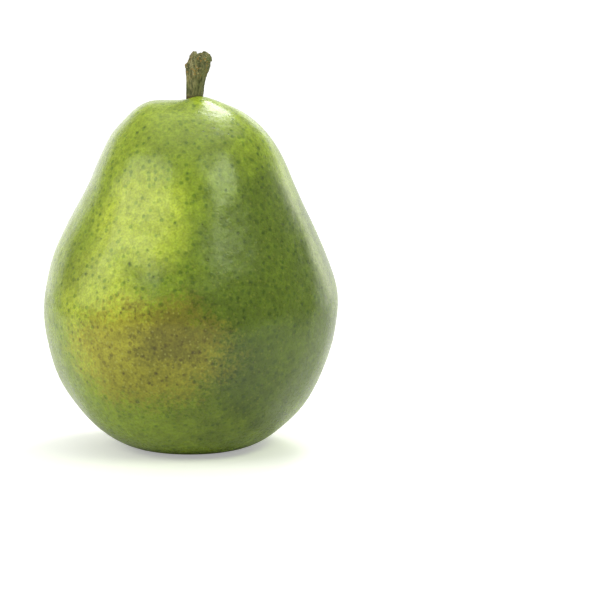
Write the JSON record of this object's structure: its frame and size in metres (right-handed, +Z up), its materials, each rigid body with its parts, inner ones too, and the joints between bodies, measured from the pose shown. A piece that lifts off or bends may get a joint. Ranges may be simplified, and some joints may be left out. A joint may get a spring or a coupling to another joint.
{
  "type": "pear",
  "caption": "Whole green pear with a short woody stalk, standing on its calyx end.",
  "frame": {"origin": "on the surface that the pear stands on, below the middle of the flesh", "axes": "+Z up through the crown and the stalk; the best side faces -Y; the stalk bends towards +X"},
  "size_m": [0.0766, 0.0762, 0.1041],
  "materials": {
    "skin": "waxy, speckled green to yellow-green, with an olive russet patch",
    "stalk": "rough olive-brown bark",
    "sepals": "dry dark brown"
  },
  "bodies": {
    "root": {"fruit": "skin", "stalk": "stalk", "calyx": "sepals"}
  },
  "joints": []
}
